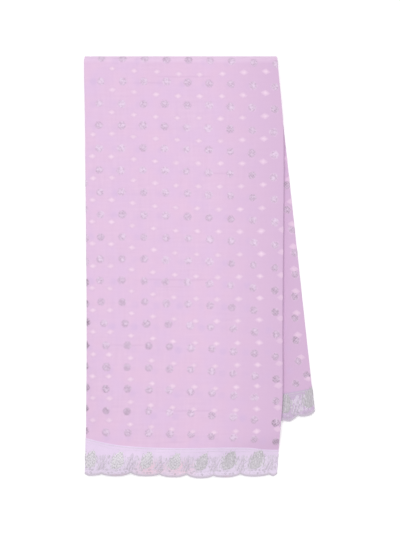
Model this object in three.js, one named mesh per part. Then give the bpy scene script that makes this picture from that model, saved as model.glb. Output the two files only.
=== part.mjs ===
// A saree, put away: its 5.5 m length is pleated back and forth into a narrow strip of 20 panels,
// and the strip is folded over once, so that it lies as a front stack on top of a back stack.
// The back stack leans to the right of the front one, and both end in the scalloped border that
// is sewn along the saree's long edges.
//
// Millimetres. +X is to the right of the front, +Y runs up to the fold, and +Z up from the surface.
// The origin is under the middle of the whole, on the surface that it lies on.

import * as THREE from "three";

// ---- Driving sizes ------------------------------------------------------------------------------

const PANELS = 20; // pleated panels in the strip, each about 275 mm wide
const LAYER_PITCH = 0.45; // one layer of cloth with the air under it
const STACK = PANELS * LAYER_PITCH; // thickness of the pleated strip
const WALL = 1.0; // the wall that stands for one layer where it shows
const GAP = 0.3; // between pieces that touch or are sewn together

const CREST_Y = 296; // the outside of the fold
const CREASE_RADIUS = GAP / 2; // of the innermost layer, inside the fold
const FOLD_Y = CREST_Y - STACK - CREASE_RADIUS; // the line that the strip folds about
const FOLD_Z = STACK + CREASE_RADIUS;

const TURN_RADIUS = WALL + GAP / 2; // a panel's folded edge, outside
const TURNED_UNDER = 14; // how far the next panel is followed under the one that shows
const SHELF = TURNED_UNDER + 1; // where the layers between them step out to make room for it
const PANEL_WIDTH = 270;

const BACK_LEFT = -161; // the back stack's edges at the fold
const BACK_RIGHT = 108;
const BACK_LEAN = 0.1088; // rightwards for each millimetre down, 6.2 degrees
const BACK_SEAM = { left: -219, right: -171.5 }; // y of its border's seam, at its two edges
const BACK_BORDER = 38; // from that seam to the lowest points of the scallops

// The front stack sinks from the back one to the surface, past its hem and past its left edge:
// how far off that starts, and over what distance.
const SINK_BELOW = { clear: 8, over: 40 };
const SINK_BESIDE = { clear: 14, over: 60 };

const SCALLOP_PITCH = 39.3;
const SCALLOP_DEPTH = 4.4;
const FIRST_NOTCH = { front: 24, back: 10.2 }; // from the left fold to the first notch

// The front stack's edges, by y.
const FRONT_EDGES = [
  { y: 296, left: -162, right: 108 },
  { y: 262, left: -162, right: 111 },
  { y: 227, left: -161.4, right: 114.5 },
  { y: 193, left: -160.8, right: 117.4 },
  { y: 150, left: -160.4, right: 118.2 },
  { y: -44, left: -159.3, right: 117.8 },
  { y: -184, left: -159.4, right: 117.2 },
  { y: -228, left: -160.4, right: 113.8 },
  { y: -256, left: -161.2, right: 111 },
  { y: -296, left: -162, right: 107.6 },
];

// Where the front border is sewn on. The seam rises towards the left fold.
const FRONT_SEAM = [
  { x: -164, y: -240 },
  { x: -120, y: -249 },
  { x: -80, y: -252.6 },
  { x: -28, y: -254 },
  { x: 41, y: -253.4 },
  { x: 70, y: -254.2 },
  { x: 90, y: -256.6 },
  { x: 120, y: -257.6 },
];

// The lowest points of the front border's scallops follow this line, which sags near the middle.
const FRONT_HEM = [
  { x: -164, y: -292.4 },
  { x: -70, y: -293.2 },
  { x: -38, y: -294.8 },
  { x: 8, y: -296.2 },
  { x: 34, y: -295 },
  { x: 78, y: -293.8 },
  { x: 120, y: -293 },
];

// Broad soft swells and hollows of the front stack: place, half sizes, turn in degrees, and rise.
const SWELLS = [
  { x: -88, y: 196, long: 90, wide: 42, turn: 62, rise: 1.1 },
  { x: 40, y: 236, long: 70, wide: 36, turn: 20, rise: -0.8 },
  { x: -20, y: 92, long: 120, wide: 40, turn: 74, rise: 0.9 },
  { x: 74, y: 20, long: 110, wide: 36, turn: 84, rise: -0.9 },
  { x: -112, y: -40, long: 90, wide: 36, turn: 96, rise: -0.8 },
  { x: -6, y: -120, long: 96, wide: 44, turn: 12, rise: 1.0 },
  { x: 66, y: -196, long: 80, wide: 36, turn: 170, rise: -0.8 },
];

// The folded edges inside the strip, from the innermost out: how far each is drawn in.
const FOLD_STEPS = [1.6, 0.5, 1.3, 0.7];

// The hems of the stacked borders, from the lowest layer up: how far each is drawn up, and how
// far its scallops are moved along.
const FRONT_HEMS = [
  { up: 2.4, along: 4 },
  { up: 0.6, along: -5 },
  { up: 1.9, along: 6 },
  { up: 1.1, along: -2 },
];
const BACK_HEMS = [
  { up: 1.4, along: -4 },
  { up: 0.5, along: 5 },
  { up: 2.2, along: -2 },
  { up: 0.9, along: 4 },
];

// How finely the form is cut: shares of the way from seam to fold, or from seam to hem.
const FRONT_ROWS = [
  0, 0.02, 0.04, 0.06, 0.08, 0.11, 0.15, 0.2, 0.27, 0.35, 0.43, 0.52, 0.61, 0.7, 0.79, 0.87, 0.94,
  1,
];
const FOLD_ROWS = [1, 2, 3, 4, 5, 6, 7].map((n) => n / 8);
const BACK_ROWS = [0, 0.34, 0.67, 1];
const FRONT_BORDER_ROWS = [0, 0.2, 0.4, 0.6, 0.8, 1];
const BACK_BORDER_ROWS = [0, 0.5, 1];
const PANEL_SPANS = 9;
const SCALLOP_SPANS = 5;

// ---- Where the strip lies -----------------------------------------------------------------------

const { lerp, clamp, smoothstep, degToRad } = THREE.MathUtils;
const steps = (count) => Array.from({ length: count + 1 }, (_, i) => i / count);

// One column of a table, read by another one along a smooth curve through its rows.
function read(table, by, column, at) {
  const rows = table.toSorted((a, b) => a[by] - b[by]);
  const last = rows.length - 1;
  const i = clamp(rows.findLastIndex((row) => row[by] <= at), 0, last - 1);
  const slope = (k) => {
    const [a, b] = [rows[Math.max(k - 1, 0)], rows[Math.min(k + 1, last)]];
    return (b[column] - a[column]) / (b[by] - a[by]);
  };
  const span = rows[i + 1][by] - rows[i][by];
  const t = clamp((at - rows[i][by]) / span, 0, 1);
  const [s, rise] = [1 - t, span * t * (1 - t)];
  return (
    rows[i][column] * (1 + 2 * t) * s * s +
    rows[i + 1][column] * (1 + 2 * s) * t * t +
    rise * (s * slope(i) - t * slope(i + 1))
  );
}

const frontHem = (x) => read(FRONT_HEM, "x", "y", x);
const backShift = (y) => BACK_LEAN * (FOLD_Y - y);

// How high the front stack is carried by the back one: 1 is on top of it, 0 on the surface.
function carried(x, y) {
  const leftEdge = BACK_LEFT + backShift(y);
  const share = (x - leftEdge) / (BACK_RIGHT - BACK_LEFT);
  const hem = lerp(BACK_SEAM.left, BACK_SEAM.right, share) - BACK_BORDER;
  const sunk = (off, { clear, over }) => smoothstep(off, clear, clear + over);
  return (1 - sunk(leftEdge - x, SINK_BESIDE)) * (1 - sunk(hem - y, SINK_BELOW));
}

function swell(x, y) {
  const rises = SWELLS.map((s) => {
    const turn = degToRad(s.turn);
    const along = (x - s.x) * Math.cos(turn) + (y - s.y) * Math.sin(turn);
    const across = (y - s.y) * Math.cos(turn) - (x - s.x) * Math.sin(turn);
    return s.rise * Math.exp(-((along / s.long) ** 2) - (across / s.wide) ** 2);
  });
  return rises.reduce((sum, rise) => sum + rise) * smoothstep(FOLD_Y - y, 0, 70);
}

// A spot in the strip: its share of the way from the left edge to the right one, how far it is
// then moved right, and its depth, 0 on the innermost face and STACK on the outermost one.
const spot = (across, shift, depth) => ({ across, shift, depth });

// Three stretches of the strip. Each puts a spot in space, given how far along the stretch it is.
// On the front and the back that is a share of the way between two lines, each a y for every x.
function onFront({ across, shift, depth }, share, from, to) {
  const place = (y) => lerp(read(FRONT_EDGES, "y", "left", y), read(FRONT_EDGES, "y", "right", y),
    across) + shift;
  let y = lerp(from(0), to(0), share);
  for (let pass = 0; pass < 3; pass++) y = lerp(from(place(y)), to(place(y)), share);
  const x = place(y);
  const z = (STACK + GAP) * carried(x, y) + depth * (1 + swell(x, y) / STACK);
  return new THREE.Vector3(x, y, z);
}

function roundFold({ across, shift, depth }, share) {
  const radius = CREASE_RADIUS + depth;
  const left = lerp(read(FRONT_EDGES, "y", "left", FOLD_Y), BACK_LEFT, share);
  const right = lerp(read(FRONT_EDGES, "y", "right", FOLD_Y), BACK_RIGHT, share);
  return new THREE.Vector3(
    lerp(left, right, across) + shift,
    FOLD_Y + radius * Math.sin(Math.PI * share),
    FOLD_Z + radius * Math.cos(Math.PI * share),
  );
}

// The lines that run down a panel's face between its two folded edges, from left to right.
const PANEL_LINES = [
  { across: 0, shift: SHELF },
  ...steps(PANEL_SPANS).slice(1, -1).map((across) => ({ across, shift: 0 })),
  { across: 1, shift: -SHELF },
];

// The front seam, straight from one of those lines to the next, so that both its sides match.
const SEAM_POINTS = [spot(0, 0, 0), ...PANEL_LINES, spot(1, 0, 0)].map(({ across, shift }) => {
  const seam = (x) => read(FRONT_SEAM, "x", "y", x);
  return onFront(spot(across, shift, 0), 0, seam, seam);
});

function frontSeam(x) {
  const before = SEAM_POINTS.findLastIndex((point) => point.x <= x);
  const i = clamp(before, 0, SEAM_POINTS.length - 2);
  const [a, b] = [SEAM_POINTS[i], SEAM_POINTS[i + 1]];
  return lerp(a.y, b.y, clamp((x - a.x) / (b.x - a.x), 0, 1));
}

// The lines of the back stack are straight, so each is a y at its left edge and at its right one.
function onBack({ across, shift, depth }, share, from, to) {
  const atFold = lerp(BACK_LEFT, BACK_RIGHT, across) + shift;
  const over = (atFold - BACK_LEFT) / (BACK_RIGHT - BACK_LEFT);
  const y = lerp(lerp(from.left, from.right, over), lerp(to.left, to.right, over), share);
  return new THREE.Vector3(atFold + backShift(y), y, STACK - depth);
}

// ---- Solids -------------------------------------------------------------------------------------

// A closed solid through rings of equally many points. flat is a ring laid out flat, and patches
// are the parts of it, each a list of points, that the two end rings are closed in.
function loft(rings, flat, patches) {
  const count = flat.length;
  const faces = [];
  for (let i = 0; i + 1 < rings.length; i++) {
    for (let j = 0; j < count; j++) {
      const [a, b] = [i * count + j, i * count + ((j + 1) % count)];
      faces.push([a, b, b + count], [a, b + count, a + count]);
    }
  }
  const top = (rings.length - 1) * count;
  for (const patch of patches) {
    const outline = patch.map((n) => flat[n]);
    const turned = Math.sign(THREE.ShapeUtils.area(outline));
    for (const corners of THREE.ShapeUtils.triangulateShape([...outline], [])) {
      const same = Math.sign(THREE.ShapeUtils.area(corners.map((n) => outline[n]))) === turned;
      const [a, b, c] = (same ? corners : corners.toReversed()).map((n) => patch[n]);
      faces.push([c, b, a], [a + top, b + top, c + top]);
    }
  }
  const points = rings.flat();
  const volume = faces.reduce((sum, [a, b, c]) => {
    return sum + points[a].dot(points[b].clone().cross(points[c]));
  }, 0);
  const geometry = new THREE.BufferGeometry().setFromPoints(points);
  geometry.setIndex(faces.flatMap((face) => (volume > 0 ? face : face.toReversed())));
  geometry.computeVertexNormals();
  return geometry;
}

const indices = (from, to) => Array.from({ length: to - from + 1 }, (_, i) => from + i);

// Cross-sections carried along the strip, one at each station, all with the same lines. The ends
// are closed line by line, so that they keep to the seam.
function alongStrip(sections, stations, lines) {
  const section = sections[0];
  const [far, all] = [section.length / 2, section.length];
  const last = lines.length - 1;
  const facing = (n) => far + last - n;
  const patches = [
    ...indices(1, last - 2).map((n) => [n, n + 1, facing(n + 1), facing(n)]),
    indices(last - 1, far + 1),
    [...indices(facing(1), all - 1), 0, 1],
  ];
  const flat = section.map((s) => new THREE.Vector2(PANEL_WIDTH * s.across + s.shift, s.depth));
  return loft(stations.map((station, i) => sections[i].map(station)), flat, patches);
}

const frontStations = (rows, from, to) =>
  rows.map((share) => (s) => onFront(s, share, from, to));
const foldStations = () => FOLD_ROWS.map((share) => (s) => roundFold(s, share));
const backStations = (rows, from, to) => rows.map((share) => (s) => onBack(s, share, from, to));

const backLine = (down) => ({ left: BACK_SEAM.left - down, right: BACK_SEAM.right - down });
const FRONT_FOLD_LINE = () => FOLD_Y;
const BACK_FOLD_LINE = { left: FOLD_Y, right: FOLD_Y };

// ---- Cross-sections -----------------------------------------------------------------------------

const SCALLOP_STEP = SCALLOP_PITCH / SCALLOP_SPANS;

function borderLines(firstNotch) {
  const start = firstNotch % SCALLOP_STEP;
  const count = Math.floor((PANEL_WIDTH - start) / SCALLOP_STEP);
  const places = Array.from({ length: count + 1 }, (_, i) => start + i * SCALLOP_STEP);
  const inside = places.filter((x) => Math.min(x, PANEL_WIDTH - x) > 4 * TURN_RADIUS);
  return inside.map((x) => ({ across: x / PANEL_WIDTH, shift: 0 }));
}

const atDepth = (lines, depth) => lines.map(({ across, shift }) => spot(across, shift, depth));
const fromEdge = (edge, inset, depth) => spot(edge, edge ? -inset : inset, depth);

// A panel that shows, with the next one followed a little way under it round both folded edges.
// face is the depth that it shows at, and inward the sign that leads into the strip.
function panelSection(face, inward, lines) {
  const inner = TURN_RADIUS - WALL;
  const under = 2 * TURN_RADIUS;
  const at = (edge, inset, into) => fromEdge(edge, inset, face + inward * into);
  const turn = (edge, radius, degrees) => {
    const angle = degToRad(degrees);
    const inset = TURN_RADIUS - radius * Math.cos(angle);
    return at(edge, inset, TURN_RADIUS - radius * Math.sin(angle));
  };
  const turned = (edge) => [
    at(edge, TURN_RADIUS, 0),
    ...[45, 0, -45].map((degrees) => turn(edge, TURN_RADIUS, degrees)),
    at(edge, TURN_RADIUS, under),
    at(edge, TURNED_UNDER, under),
    at(edge, TURNED_UNDER, under - WALL),
    at(edge, TURN_RADIUS, under - WALL),
    turn(edge, inner, 0),
    at(edge, TURN_RADIUS, WALL),
  ];
  return [
    ...atDepth(lines, face),
    ...turned(1),
    ...atDepth(lines, face + inward * WALL).toReversed(),
    ...turned(0).toReversed(),
  ];
}

// The hidden panels, with a bulge at both edges for each few folds. inside is the depth that they
// start at, and turned the room that they leave there for a panel turned under.
function heartSection(inside, turned) {
  const outside = STACK - WALL - GAP;
  const [low, high] = [inside + turned, outside - WALL - GAP];
  const edgePoints = (edge) => [
    fromEdge(edge, SHELF, low),
    ...FOLD_STEPS.flatMap((drawnIn, i) => {
      const depth = (n) => lerp(low, high, (i + n) / FOLD_STEPS.length);
      return [
        fromEdge(edge, drawnIn + 0.8, depth(0.03)),
        fromEdge(edge, drawnIn, depth(0.5)),
        fromEdge(edge, drawnIn + 0.8, depth(0.97)),
      ];
    }),
    fromEdge(edge, SHELF, high),
  ];
  return [
    ...atDepth(PANEL_LINES, inside),
    ...edgePoints(1),
    ...atDepth(PANEL_LINES, outside).toReversed(),
    ...edgePoints(0).toReversed(),
  ];
}

// How far the hem is drawn up: nothing at the lowest point of a scallop, and SCALLOP_DEPTH at the
// notch between two of them.
function scallop({ across, shift }, firstNotch, along) {
  const count = (across * PANEL_WIDTH + shift - firstNotch - along) / SCALLOP_PITCH;
  const share = count - Math.floor(count);
  return SCALLOP_DEPTH * (1 - 4 * share * (1 - share));
}

// The borders under the one that shows: profiles from the seam to their hems, set side by side
// across the strip. They leave room at both edges for the border that is turned under.
function stackedBorders(lines, rows, hems, [low, high], place) {
  const columns = [{ across: 0, shift: 0.8 }, ...lines, { across: 1, shift: -0.8 }];
  const under = rows.slice(0, -1);
  const levels = hems.flatMap((hem, i) => [
    { share: (i + 0.04) / hems.length, up: hem.up + 1, along: hem.along },
    { share: (i + 0.5) / hems.length, up: hem.up, along: hem.along },
    { share: (i + 0.96) / hems.length, up: hem.up + 1, along: hem.along },
  ]);
  const rings = columns.map(({ across, shift }) => {
    const inset = Math.min(across, 1 - across) * PANEL_WIDTH;
    const room = inset < TURNED_UNDER + SCALLOP_STEP ? Math.sign(high - low) * (WALL + GAP) : 0;
    const top = high - room;
    const at = (depth, row, up, along) => place(spot(across, shift, depth), row, up, along);
    return [
      ...under.map((row) => at(low, row, 0, 0)),
      ...levels.map(({ share, up, along }) => at(lerp(low, top, share), 1, up, along)),
      ...under.toReversed().map((row) => at(top, row, 0, 0)),
    ];
  });
  const flat = [
    ...under.map((row) => new THREE.Vector2(row, 0)),
    ...levels.map(({ share, up }) => new THREE.Vector2(1.1 - up / 40, share)),
    ...under.toReversed().map((row) => new THREE.Vector2(row, 1)),
  ];
  return loft(rings, flat, [indices(0, flat.length - 1)]);
}

// ---- The pieces ---------------------------------------------------------------------------------

const cloth = (color) => new THREE.MeshStandardMaterial({ color, roughness: 0.75, metalness: 0 });
const BODY = cloth(0xe6c6e4);
const BORDER = cloth(0xe2d0ea);

// The outermost panel: up the front, over the fold, and on under the back stack.
function frontFall() {
  const stations = [
    ...frontStations(FRONT_ROWS, frontSeam, FRONT_FOLD_LINE),
    ...foldStations(),
    ...backStations(BACK_ROWS, BACK_FOLD_LINE, backLine(0)),
  ];
  const section = panelSection(STACK, -1, PANEL_LINES);
  return alongStrip(stations.map(() => section), stations, PANEL_LINES);
}

// The innermost panel, which shows where the back stack leans out from under the front one.
function backFall() {
  const stations = backStations(BACK_ROWS, BACK_FOLD_LINE, backLine(0));
  const section = panelSection(0, 1, PANEL_LINES);
  return alongStrip(stations.map(() => section), stations, PANEL_LINES);
}

// The panels between those two. On the front they start right at the strip's inner face.
function innerLayers() {
  const front = frontStations(FRONT_ROWS, frontSeam, FRONT_FOLD_LINE);
  const behind = [...foldStations(), ...backStations(BACK_ROWS, BACK_FOLD_LINE, backLine(0))];
  const sections = [
    ...front.map(() => heartSection(0, GAP)),
    ...behind.map(() => heartSection(WALL + GAP, WALL + GAP)),
  ];
  return alongStrip(sections, [...front, ...behind], PANEL_LINES);
}

const FRONT_BORDER_LINES = borderLines(FIRST_NOTCH.front);
const BACK_BORDER_LINES = borderLines(FIRST_NOTCH.back);

// A border's spot, given how far it is from the seam to the hem, and how its scallops are moved.
function onFrontBorder(s, row, up = 0, along = 0) {
  const seam = (x) => frontSeam(x) - GAP;
  const hem = (x) => frontHem(x) + scallop(s, FIRST_NOTCH.front, along) + up;
  return onFront(s, row, seam, hem);
}

function onBackBorder(s, row, up = 0, along = 0) {
  const hem = backLine(BACK_BORDER - scallop(s, FIRST_NOTCH.back, along) - up);
  return onBack(s, row, backLine(GAP), hem);
}

function frontBorder() {
  const stations = FRONT_BORDER_ROWS.map((row) => (s) => onFrontBorder(s, row));
  const section = panelSection(STACK, -1, FRONT_BORDER_LINES);
  return alongStrip(stations.map(() => section), stations, FRONT_BORDER_LINES);
}

function backBorder() {
  const stations = BACK_BORDER_ROWS.map((row) => (s) => onBackBorder(s, row));
  const section = panelSection(0, 1, BACK_BORDER_LINES);
  return alongStrip(stations.map(() => section), stations, BACK_BORDER_LINES);
}

function frontBorderLayers() {
  const depths = [0, STACK - WALL - GAP];
  return stackedBorders(
    FRONT_BORDER_LINES, FRONT_BORDER_ROWS, FRONT_HEMS, depths, onFrontBorder,
  );
}

function backBorderLayers() {
  const depths = [STACK, WALL + GAP];
  return stackedBorders(BACK_BORDER_LINES, BACK_BORDER_ROWS, BACK_HEMS, depths, onBackBorder);
}

const saree = new THREE.Group();
const pieces = [
  ["front_fall", frontFall(), BODY],
  ["back_fall", backFall(), BODY],
  ["inner_layers", innerLayers(), BODY],
  ["front_border", frontBorder(), BORDER],
  ["back_border", backBorder(), BORDER],
  ["front_border_layers", frontBorderLayers(), BORDER],
  ["back_border_layers", backBorderLayers(), BORDER],
];
for (const [name, geometry, material] of pieces) {
  const mesh = new THREE.Mesh(geometry, material);
  mesh.name = name;
  saree.add(mesh);
}

export default saree;
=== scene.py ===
# %% [markdown]
# # A folded saree
# A saree is one long piece of cloth, about 5.4 m by 1.1 m, with a border sewn along both long
# edges. To put it away it is pleated back and forth into a narrow strip, and the strip is folded
# once over. We see the outermost panel going up the front and over the fold, the innermost panel
# where the back fall leans out at the right, and the scalloped borders at both lower ends.
#
# The model follows the same steps as the cloth. Every piece is made flat, in the cloth's own
# measures, and one function then lays it where the fold takes it.

# %% Load the frame
import math
import random

import bmesh
import bpy
from bisect import bisect_right
from mathutils import Matrix, Vector


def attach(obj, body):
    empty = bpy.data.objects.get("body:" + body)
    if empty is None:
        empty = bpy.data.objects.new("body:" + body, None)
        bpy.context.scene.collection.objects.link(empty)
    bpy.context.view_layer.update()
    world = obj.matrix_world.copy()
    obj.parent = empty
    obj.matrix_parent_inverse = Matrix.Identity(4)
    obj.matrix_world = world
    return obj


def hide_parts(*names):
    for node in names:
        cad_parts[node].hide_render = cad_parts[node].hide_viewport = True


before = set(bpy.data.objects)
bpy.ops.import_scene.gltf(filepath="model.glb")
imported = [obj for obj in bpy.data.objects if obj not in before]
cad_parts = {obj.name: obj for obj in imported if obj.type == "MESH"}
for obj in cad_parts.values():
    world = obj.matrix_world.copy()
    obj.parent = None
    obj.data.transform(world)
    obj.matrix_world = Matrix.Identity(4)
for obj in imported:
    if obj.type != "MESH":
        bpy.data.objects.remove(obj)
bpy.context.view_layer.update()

print("frame:", sorted(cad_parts))

# %% [markdown]
# ## The form that the cloth is laid on
# A table of a few places gives each edge, and a smooth curve runs through them. Reading a curve
# from a table keeps the drawing in sight: a tailor would mark the same places with chalk.

# %% Sizes of the folded strip, in millimetres
MM = 0.001
PANEL = 270.0  # width of a pleated panel
STACK = 9.0  # thickness of the strip, twenty layers with the air between them
GAP = 0.3  # between the front stack and the back one
CREST_Y = 296.0
CREASE = GAP / 2
FOLD_Y = CREST_Y - STACK - CREASE
FOLD_Z = STACK + CREASE
FOLD_RUN = math.pi * (CREASE + STACK)  # cloth that goes round the outside of the fold

BACK_LEFT, BACK_LEAN = -161.0, 0.1088
BACK_WIDTH = PANEL - 1.8
BACK_SEAM = (-219.0, -171.5)  # y at its left and right edge
BACK_BORDER = 38.0

FRONT_LEFT = [(-296, -161), (-256, -160.1), (-228, -159.3), (-184, -158.8), (-120, -158.2),
              (-44, -158.2), (80, -159.1), (150, -159.9), (193, -160.2), (227, -160.7),
              (262, -161.5), (296, -161.8)]
FRONT_RIGHT = [(-296, 106.9), (-256, 109.8), (-228, 111.9), (-184, 115.2), (-100, 115.2),
               (-20, 115.6), (60, 116.3), (150, 116.9), (193, 116.3), (227, 113.9), (262, 110.4),
               (296, 107.3)]
FRONT_SEAM = [(-164, -240), (-120, -249), (-80, -252.6), (-28, -254), (41, -253.4),
              (70, -254.2), (90, -256.6), (120, -257.6)]
FRONT_HEM = [(-164, -292.4), (-70, -293.2), (-38, -294.8), (8, -296.2), (34, -295),
             (78, -293.8), (120, -293)]
print(f"strip: {PANEL:.0f} mm wide and {STACK:.1f} mm high")

# %% Curves and soft steps
def clamp(value, low=0.0, high=1.0):
    return max(low, min(high, value))


def mix(a, b, share):
    return a + (b - a) * share


def ease(value, start, end):
    """0 before start, 1 after end, and a soft slope between them."""
    t = clamp((value - start) / (end - start))
    return t * t * (3 - 2 * t)


def through(table):
    """A smooth curve through a table of (place, value), as a function of the place."""
    places = [p for p, _ in table]
    values = [v for _, v in table]
    last = len(table) - 1
    slopes = [(values[min(k + 1, last)] - values[max(k - 1, 0)])
              / (places[min(k + 1, last)] - places[max(k - 1, 0)]) for k in range(last + 1)]

    def read(at):
        i = int(clamp(bisect_right(places, at) - 1, 0, last - 1))
        span = places[i + 1] - places[i]
        t = clamp((at - places[i]) / span)
        s = 1 - t
        return (values[i] * (1 + 2 * t) * s * s + values[i + 1] * (1 + 2 * s) * t * t
                + span * t * s * (s * slopes[i] - t * slopes[i + 1]))
    return read


def back_left(y):
    """x of the back stack's left edge, which leans out to the right on its way down."""
    return BACK_LEFT + BACK_LEAN * (FOLD_Y - y)


front_left, front_right = through(FRONT_LEFT), through(FRONT_RIGHT)
front_seam, front_hem = through(FRONT_SEAM), through(FRONT_HEM)
print(f"front panel at mid height: {front_right(0) - front_left(0):.1f} mm wide")

# %% [markdown]
# ## Soft swells and creases
# Twenty loose layers never lie dead flat. Broad swells come from air between the layers, narrow
# creases from earlier foldings, and the border of the back stack lifts the front one a little
# where it lies underneath. Each swell or crease is one line of a table, uneven on purpose.

# %% Swells and creases
SWELLS = [  # x, y, half length, half width, turn in degrees, rise
    (-88, 196, 90, 42, 62, 1.1), (40, 236, 70, 36, 20, -0.8), (-20, 92, 120, 40, 74, 0.9),
    (74, 20, 110, 36, 84, -0.9), (-112, -40, 90, 36, 96, -0.8), (-6, -120, 96, 44, 12, 1.0),
    (66, -196, 80, 36, 170, -0.8),
]
CREASES = [  # the same columns, for the narrow ones of the outermost panel
    (-12, 266, 56, 5, 1.5, -0.34), (-70, 257, 34, 5, 4, 0.26), (62, 257, 30, 5, -3, 0.22),
    (-44, -19, 82, 5, -1.5, -0.36), (-18, -29, 60, 5, 1, 0.3), (88, 6, 28, 5, 4, -0.22),
    (-104, 40, 32, 5, 3, -0.26), (30, 128, 46, 5, -4, 0.24), (-66, 150, 42, 5, 5, -0.24),
    (-92, -108, 44, 5, 6, 0.24), (58, -92, 52, 5, -5, -0.26), (12, -158, 40, 5, 2, 0.24),
    (-32, -200, 60, 4.6, -1.2, -0.36), (-20, -244, 44, 5, 1, -0.3), (48, -232, 40, 5, -4, 0.22),
    (101, 96, 66, 5.4, 86, -0.3), (-146, -86, 84, 5.4, 91, 0.26), (-138, 120, 70, 5.6, 88, -0.24),
    (86, -150, 58, 5.4, 95, 0.24), (20, 40, 50, 5, -7, -0.2), (-40, 214, 46, 5, -5, 0.22),
]


def swelling(table, x, y):
    """What the swells of a table add up to at one place."""
    height = 0.0
    for cx, cy, long, wide, turn, rise in table:
        dx, dy = x - cx, y - cy
        if abs(dx) + abs(dy) > 4 * long:  # too far away to count
            continue
        c, s = math.cos(math.radians(turn)), math.sin(math.radians(turn))
        along, across = (dx * c + dy * s) / long, (dy * c - dx * s) / wide
        if abs(across) < 3:
            height += rise * math.exp(-along * along - across * across)
    return height


print(len(SWELLS), "swells and", len(CREASES), "creases")

# %% Where the front stack lies on the back one
def back_hem_line(x, y):
    """y of the back stack's lowest line, followed from a place in the frame."""
    return mix(*BACK_SEAM, (x - back_left(y)) / PANEL) - BACK_BORDER


def carried(x, y):
    """1 where the front stack lies on the back one, 0 where it has sunk to the surface."""
    beside = 1 - ease(back_left(y) - x, 14, 74)
    return beside * (1 - ease(back_hem_line(x, y) - y, 8, 48))


def lifted_by_back_border(x, y):
    """The back border's embroidery is thicker than the cloth, and shows through as a low step."""
    above, from_edge = y - back_hem_line(x, y), x - back_left(y)
    return 0.5 * ease(above, -3, 3) * (1 - ease(above, 35, 41)) * ease(from_edge, 0, 20)


print("share carried, down the middle:", [round(carried(0, y), 2) for y in (0, -250, -265, -280)])

# %% Laying cloth on the form
UNDERSIDE = 0.8  # the outer panel stands this much off the surface, on its own embroidery


def on_front(u, y, depth):
    """u is millimetres from the panel's left fold, depth 0 on the innermost face of the strip."""
    left, right = front_left(y), front_right(y)
    x = left + u * (right - left) / PANEL
    share = depth / STACK
    below = FOLD_Y - y
    z = (STACK + GAP) * carried(x, y) + depth + share * swelling(SWELLS, x, y) * ease(below, 0, 70)
    if share > 0.5:
        creased = swelling(CREASES, x, y) * ease(below, 0, 16)
        z += (2 * share - 1) ** 2 * (creased + lifted_by_back_border(x, y))
    return Vector((x, y, z)) * MM


def round_fold(u, share, depth):
    radius, angle = CREASE + depth, math.pi * share
    left = mix(front_left(FOLD_Y), BACK_LEFT, share)
    right = mix(front_right(FOLD_Y), BACK_LEFT + BACK_WIDTH, share)
    x = left + u * (right - left) / PANEL
    return Vector((x, FOLD_Y + radius * math.sin(angle), FOLD_Z + radius * math.cos(angle))) * MM


def on_back(u, y, depth):
    x = back_left(y) + u * BACK_WIDTH / PANEL
    bare = ease(x - front_right(y), 3, 16) * (1 - depth / STACK)  # out from under the front stack
    ripple = 0.35 * math.sin(y / 31 + 0.8) + 0.25 * math.sin(y / 13.5 + x / 17)
    return Vector((x, y, STACK - depth + bare * ripple)) * MM


def back_run(y):
    """v of a place on the back, and the other way round y of a v."""
    return 2 * FOLD_Y + FOLD_RUN - y


def lay(u, v, depth):
    """v runs up the front as y does, then round the fold and down the back."""
    depth *= 1 - UNDERSIDE / STACK * ease(v, FOLD_Y, FOLD_Y + FOLD_RUN)
    if v <= FOLD_Y:
        return on_front(u, v, depth)
    if v < FOLD_Y + FOLD_RUN:
        return round_fold(u, (v - FOLD_Y) / FOLD_RUN, depth)
    return on_back(u, back_run(v), depth)


for name, v in (("front", 0), ("fold", FOLD_Y + FOLD_RUN / 2), ("back", back_run(0))):
    place = lay(PANEL / 2, v, STACK)
    print(f"{name}: x {place.x:.3f} y {place.y:.3f} z {place.z:.4f}")

# %% [markdown]
# ## Panels with folded edges
# At both sides the cloth turns under and runs back. A panel is cut wider than it shows, and its
# spare width goes round a small half circle and a little way underneath. Bending a flat strip
# round a circle by its own arc length keeps the cloth from stretching.

# %% Folding a panel's edges
CLOTH = 0.45  # thickness of the panels that show
TURN = 0.85  # radius of their folded edges, outside
TUCK = 14.0  # cloth that runs on underneath


def folded_edges(u, h, radius, thick):
    """(across, into) of a point of the panel: u along the cloth, h from its face inwards."""
    arc = math.pi * (radius - thick / 2)
    for right, past in ((False, radius - u), (True, u - (PANEL - radius))):
        if past > 0:
            angle = math.pi * min(past / arc, 1)
            across = radius - (radius - h) * math.sin(angle) + max(past - arc, 0)
            into = radius - (radius - h) * math.cos(angle)
            return (PANEL - across if right else across), into
    return u, h


def spaced(start, end, step):
    """Even places from start to end, about a step apart."""
    count = max(1, round((end - start) / step))
    return [mix(start, end, i / count) for i in range(count + 1)]


def fold_lines(radius, thick, tuck, step, turns=6):
    """Lines down the left edge of a panel, from the end of its tuck to where its face starts."""
    arc = math.pi * (radius - thick / 2)
    return (spaced(radius - arc - tuck, radius - arc, step)[:-1]
            + spaced(radius - arc, radius, arc / turns))


def panel_lines(middle, radius=TURN, thick=CLOTH, tuck=TUCK, step=7):
    """All the lines down a panel. middle holds those of its face."""
    left = fold_lines(radius, thick, tuck, step)
    face = [u for u in middle if radius < u < PANEL - radius]
    return left + face + [PANEL - u for u in left[::-1]]


ARC = math.pi * (TURN - CLOTH / 2)
print(f"a panel is cut {PANEL - 2 * TURN + 2 * (ARC + TUCK):.1f} mm wide and shows {PANEL:.0f} mm")

# %% [markdown]
# ## Cutting a sheet
# A sheet starts as a grid, is given its thickness while it is still flat, and gets its texture
# coordinates from the flat cloth, in metres. Only then is it laid. Solidifying first matters: the
# wall comes out even, and the weave on it keeps its scale round every fold.

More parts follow.
